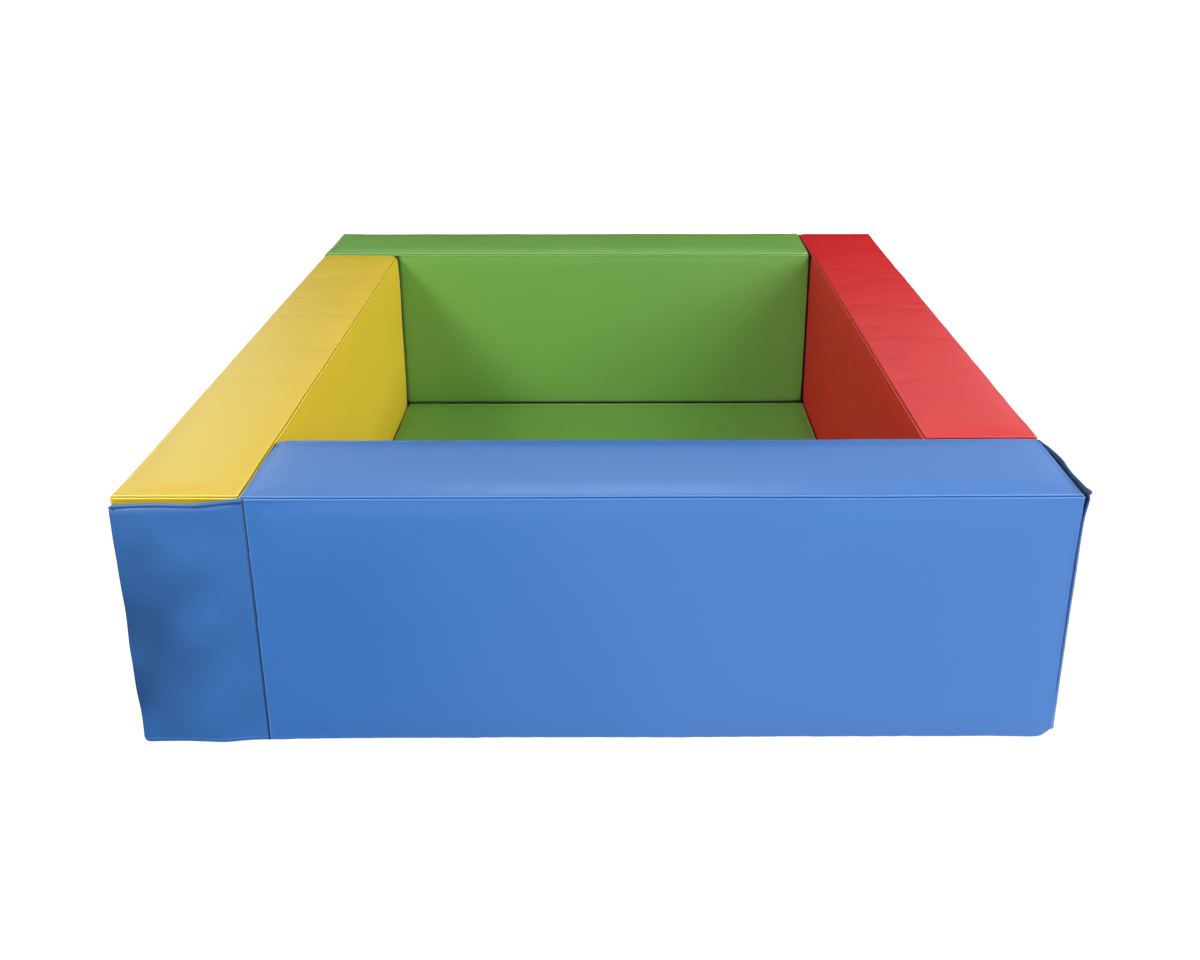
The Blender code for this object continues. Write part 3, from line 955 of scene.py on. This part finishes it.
class PIT_OT_flaps(bpy.types.Operator):
    """The sewn vinyl flaps that wrap the next wall's end, with their hems and stitches"""

    bl_idname = "pit.flaps"
    bl_label = "Flaps"

    def stitches(self, flap, name, colour, turns):
        """Each stitch is a short bead of thread, sunk in the cloth on both faces."""
        s = bpy.context.scene.pit_sizes
        bead = bmesh.new()
        bmesh.ops.create_uvsphere(bead, u_segments=6, v_segments=4, radius=s.thread / 2)
        bmesh.ops.scale(bead, vec=(s.stitch_length / s.thread, 1, 1), verts=bead.verts)
        stitch = bpy.data.meshes.new("stitch")
        bead.to_mesh(stitch)
        bead.free()
        route = list(flap.stitch_route(s.stitch_pitch))
        out, up = np.array([r[0] for r in route]), np.array([r[1] for r in route])
        bm = bmesh.new()
        for side in (-1.0, 1.0):
            places, normals = flap.surface(out, up, np.full(len(out), side))
            for place, normal, (_, _, upright) in zip(places, normals, route):
                lift = Vector(normal) * -side * s.thread * 0.2
                turn = Matrix.Rotation(math.pi / 2 if upright else 0.0, 4, "Y")
                seat = Matrix.Translation(Vector(place) + lift) @ turn
                stitch.transform(seat)
                bm.from_mesh(stitch)
                stitch.transform(seat.inverted())
        bpy.data.meshes.remove(stitch)
        return add_piece(name, bm, f"pit_{colour}_thread", turns)

    def execute(self, context):
        for turns, (name, (_, colour)) in enumerate(WALLS.items()):
            flap = Flap(name, turns + 3)
            cloth = add_piece(f"{name}_flap_vinyl", flap.mesh(), f"pit_{colour}_vinyl", turns)
            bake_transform(cloth)
            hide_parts(f"{name}_flap")
            thread = self.stitches(flap, f"{name}_flap_stitching", colour, turns)
            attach(thread, f"{name}_flap")
        return {"FINISHED"}


class PIT_OT_grip_tapes(bpy.types.Operator):
    """Hook tape inside each flap, and loop tape on each wall's free end"""

    bl_idname = "pit.grip_tapes"
    bl_label = "Grip tapes"

    def tape(self, low, high, thin, backing):
        """A flat tape: thin woven edges and a thicker field of hooks or loops between them."""
        bm = grid_box([
            (0.0, 1.0) if axis == thin else spaced(low[axis], high[axis], TAPE_STEP, TAPE_CUTS)
            for axis in range(3)
        ])
        flat = np.array([v.co for v in bm.verts])
        wide = 1 - thin
        inside = np.minimum(
            np.minimum(flat[:, wide] - low[wide], high[wide] - flat[:, wide]),
            np.minimum(flat[:, 2] - low[2], high[2] - flat[:, 2]) + 0.0006)
        full = np.interp(inside, (0.0, 0.0003, 0.0020, 0.0026, 1.0), (0.12, 0.34, 0.38, 1.0, 1.0))
        height = (high[thin] - low[thin]) * flat[:, thin] * full
        places, out = backing(flat)
        place_points(bm, places + out * height[:, None])
        bmesh.ops.recalc_face_normals(bm, faces=bm.faces)
        return bm

    def execute(self, context):
        for turns, name in enumerate(WALLS):
            flap, wall = Flap(name, turns + 3), wall_stuffing(turns)

            def inside_flap(flat):
                places, out = flap.surface(HINGE[0] - flat[:, 0], flat[:, 2], 1.0)
                return places, -out

            def on_end(flat):
                at_end = np.full(len(flat), wall.high[0])
                return wall.surface(np.stack([at_end, flat[:, 1], flat[:, 2]], axis=1))

            mesh = self.tape(HOOK_LOW, HOOK_HIGH, 1, inside_flap)
            hook = add_piece(f"{name}_hook_tape", mesh, "pit_hook_tape", turns)
            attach(hook, f"{name}_flap")
            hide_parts(f"{name}_flap_hook_strip")
            mesh = self.tape(LOOP_LOW, LOOP_HIGH, 0, on_end)
            loop = add_piece(f"{name}_loop_tape", mesh, "pit_loop_tape", turns)
            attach(loop, f"{name}_wall")
            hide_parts(f"{name}_end_loop_strip")
        return {"FINISHED"}


class PIT_OT_zips(bpy.types.Operator):
    """Finishes for the zip tapes and sliders, whose solids stay as they are"""

    bl_idname = "pit.zips"
    bl_label = "Zips"

    def execute(self, context):
        for name, node in frame["nodes"].items():
            if "_zip_" in name:
                kind = "pit_zip_metal" if name.endswith("_slider") else "pit_zip_tape"
                node.data.materials.clear()
                node.data.materials.append(finish(kind))
        return {"FINISHED"}


class PIT_OT_studio(bpy.types.Operator):
    """A pale floor, soft studio light and the camera of the photograph"""

    bl_idname = "pit.studio"
    bl_label = "Studio"

    # The camera was fitted to corners of the pit: focal length and principal point are in pixels
    EYE = (0.0243, -2.2250, 1.2783)
    YAW, PITCH = 0.266, 17.50
    FOCAL, IMAGE_WIDTH, IMAGE_HEIGHT = 1083.8, 1200.0, 960.0
    MIDDLE = (619.3, 270.0)
    SENSOR = 36.0
    # What the lamps look at, their sizes, and each one's place, aim, size and power in watts
    PIT, WELL = (0.0, 0.0, 0.2), (0.0, -0.4, 0.4)
    WIDE, SMALL, PANE = (3.6, 3.0), (1.8, 1.5), (0.9, 0.8)
    LAMPS = {
        "left_softbox": ((-5.57, -6.64, 6.97), PIT, WIDE, 676.0),
        "right_softbox": ((5.57, -6.64, 6.97), PIT, WIDE, 248.0),
        "low_right_softbox": ((3.25, -3.88, 2.35), PIT, SMALL, 78.0),
        "right_side_softbox": ((5.06, 0.0, 2.35), PIT, SMALL, 175.0),
        "front_softbox": ((0.0, -10.76, 2.49), PIT, WIDE, 72.0),
        "back_softbox": ((0.0, 7.07, 8.63), PIT, WIDE, 112.0),
        "window_softbox": ((-2.2, 2.5, 2.15), WELL, PANE, 3.6),
    }
    # Each net's place, half size, rim and tilt in degrees
    NETS = {
        "back_flag": ((0.15, 2.4, 0.75), (2.1, 1.05), 0.25, 90.0),
        "floor_flag": ((-1.5, -1.0, 0.001), (1.7, 1.6), 0.4, 0.0),
    }
    FLOOR_HALF, FLOOR_DROP, UNDER_PIT = 20.0, 0.0004, 0.735

    def camera(self, scene):
        data = bpy.data.cameras.new("studio_camera")
        data.sensor_width = self.SENSOR
        data.lens = self.SENSOR * self.FOCAL / self.IMAGE_WIDTH
        data.shift_x = (self.IMAGE_WIDTH / 2 - self.MIDDLE[0]) / self.IMAGE_WIDTH
        data.shift_y = (self.MIDDLE[1] - self.IMAGE_HEIGHT / 2) / self.IMAGE_WIDTH
        camera = bpy.data.objects.new("studio_camera", data)
        camera.location = self.EYE
        camera.rotation_euler = (math.radians(90.0 - self.PITCH), 0.0, -math.radians(self.YAW))
        scene.collection.objects.link(camera)
        scene.camera = camera

    def lamp(self, scene, name, place, aim, size, power):
        data = bpy.data.lights.new(name, "AREA")
        data.shape = "RECTANGLE"
        data.size, data.size_y = size
        data.energy = power
        lamp = bpy.data.objects.new(name, data)
        lamp.location = place
        lamp.rotation_euler = (Vector(aim) - Vector(place)).to_track_quat("-Z", "Y").to_euler()
        lamp.visible_camera = False
        scene.collection.objects.link(lamp)

    def seen_directly(self, tree):
        """1 for camera, glossy and transmission rays."""
        rays = add_node(tree, "ShaderNodeLightPath").outputs
        first = maths(tree, "MAXIMUM", rays["Is Camera Ray"], rays["Is Glossy Ray"])
        return maths(tree, "MAXIMUM", first, rays["Is Transmission Ray"])

    def world(self, scene):
        world = bpy.data.worlds.new("studio_white")
        tree = blank_tree(world)
        ambient, white = [
            add_node(tree, "ShaderNodeBackground", {"Color": grey(1.0), "Strength": strength})
            for strength in (0.2, 1.0)]
        seen = mix_shaders(tree, self.seen_directly(tree), ambient, white)
        add_node(tree, "ShaderNodeOutputWorld", {"Surface": seen.outputs[0]})
        scene.world = world

    def plane(self, name, half, material):
        """A square that faces up, and its material's empty node tree."""
        bm = bmesh.new()
        bmesh.ops.create_grid(bm, x_segments=1, y_segments=1, size=half)
        material = bpy.data.materials.new(material)
        return new_object(name, bm, material), blank_tree(material)

    def floor(self, scene):
        """A plain floor that looks nearly white, and still keeps a faint shadow of the pit."""
        floor, tree = self.plane("studio_floor", self.FLOOR_HALF, "studio_floor")
        floor.data.transform(Matrix.Translation((0, 0, -self.FLOOR_DROP)))
        plain, faint, covered = [
            add_node(tree, "ShaderNodeBsdfDiffuse", {"Color": colour})
            for colour in ((*scene.pit_colours.floor, 1.0), grey(0.36), grey(0.85))]
        split = add_node(tree, "ShaderNodeSeparateXYZ", {0: object_place(tree)})
        reach = maths(tree, "MAXIMUM", *[
            maths(tree, "ABSOLUTE", split.outputs[axis]) for axis in (0, 1)])
        # The lamps fall off beyond the pit, and the glow makes up for it
        white = ramp(tree, reach, (1.3, 3.5), 0.86, 1.0)
        glow = add_node(tree, "ShaderNodeEmission", {"Color": grey(1.0), "Strength": white})
        open_floor = add_node(tree, "ShaderNodeAddShader", {
            0: faint.outputs[0], 1: glow.outputs[0]})
        # Under the pit the floor is white without a glow, so that no light shows through the joints
        outside = maths(tree, "GREATER_THAN", reach, self.UNDER_PIT)
        bright = mix_shaders(tree, outside, covered, open_floor)
        seen = mix_shaders(tree, self.seen_directly(tree), plain, bright)
        add_node(tree, "ShaderNodeOutputMaterial", {"Surface": seen.outputs[0]})

    def flag(self, name, place, size, rim, tilt):
        """A black net, thin at its rim, that only keeps part of the white room out of the gloss."""
        flag, tree = self.plane(name, 1.0, f"{name}_net")
        middle = add_node(tree, "ShaderNodeTexGradient", {
            "Vector": object_place(tree)}, gradient_type="SPHERICAL")
        weave = ramp(tree, middle.outputs["Fac"], (0.0, rim), 0.0, 1.0)
        clear = add_node(tree, "ShaderNodeBsdfTransparent")
        black = add_node(tree, "ShaderNodeBsdfDiffuse", {"Color": grey(0.01)})
        net = mix_shaders(tree, weave, clear, black)
        add_node(tree, "ShaderNodeOutputMaterial", {"Surface": net.outputs[0]})
        flag.location, flag.scale = place, (*size, 1.0)
        flag.rotation_euler = (math.radians(tilt), 0.0, 0.0)
        flag.visible_camera = flag.visible_diffuse = False
        flag.visible_transmission = flag.visible_shadow = False

    def execute(self, context):
        scene = context.scene
        self.camera(scene)
        self.world(scene)
        self.floor(scene)
        for name, net in self.NETS.items():
            self.flag(name, *net)
        for name, lamp in self.LAMPS.items():
            self.lamp(scene, name, *lamp)
        scene.view_settings.view_transform = "Standard"
        return {"FINISHED"}


class PIT_PT_panel(bpy.types.Panel):
    """Lists the pit's pieces in the 3D view's sidebar"""

    bl_idname = "PIT_PT_panel"
    bl_label = "Ball pit"
    bl_space_type = "VIEW_3D"
    bl_region_type = "UI"
    bl_category = "Ball pit"

    def draw(self, context):
        layout = self.layout
        for operator in OPERATORS:
            layout.operator(operator.bl_idname)
        for group in (context.scene.pit_sizes, context.scene.pit_colours):
            for name in group.__annotations__:
                layout.prop(group, name)


OPERATORS = (
    PIT_OT_studio, PIT_OT_wall_covers, PIT_OT_floor_mat, PIT_OT_foam_cores,
    PIT_OT_grip_tapes, PIT_OT_flaps, PIT_OT_zips,
)
CLASSES = (PitSizes, PitColours, *OPERATORS, PIT_PT_panel)


def register():
    for cls in CLASSES:
        bpy.utils.register_class(cls)
    bpy.types.Scene.pit_sizes = bpy.props.PointerProperty(type=PitSizes)
    bpy.types.Scene.pit_colours = bpy.props.PointerProperty(type=PitColours)


def unregister():
    del bpy.types.Scene.pit_colours
    del bpy.types.Scene.pit_sizes
    for cls in reversed(CLASSES):
        bpy.utils.unregister_class(cls)


def main():
    register()
    for operator in OPERATORS:
        group, name = operator.bl_idname.split(".")
        getattr(getattr(bpy.ops, group), name)()


if __name__ == "__main__":
    main()
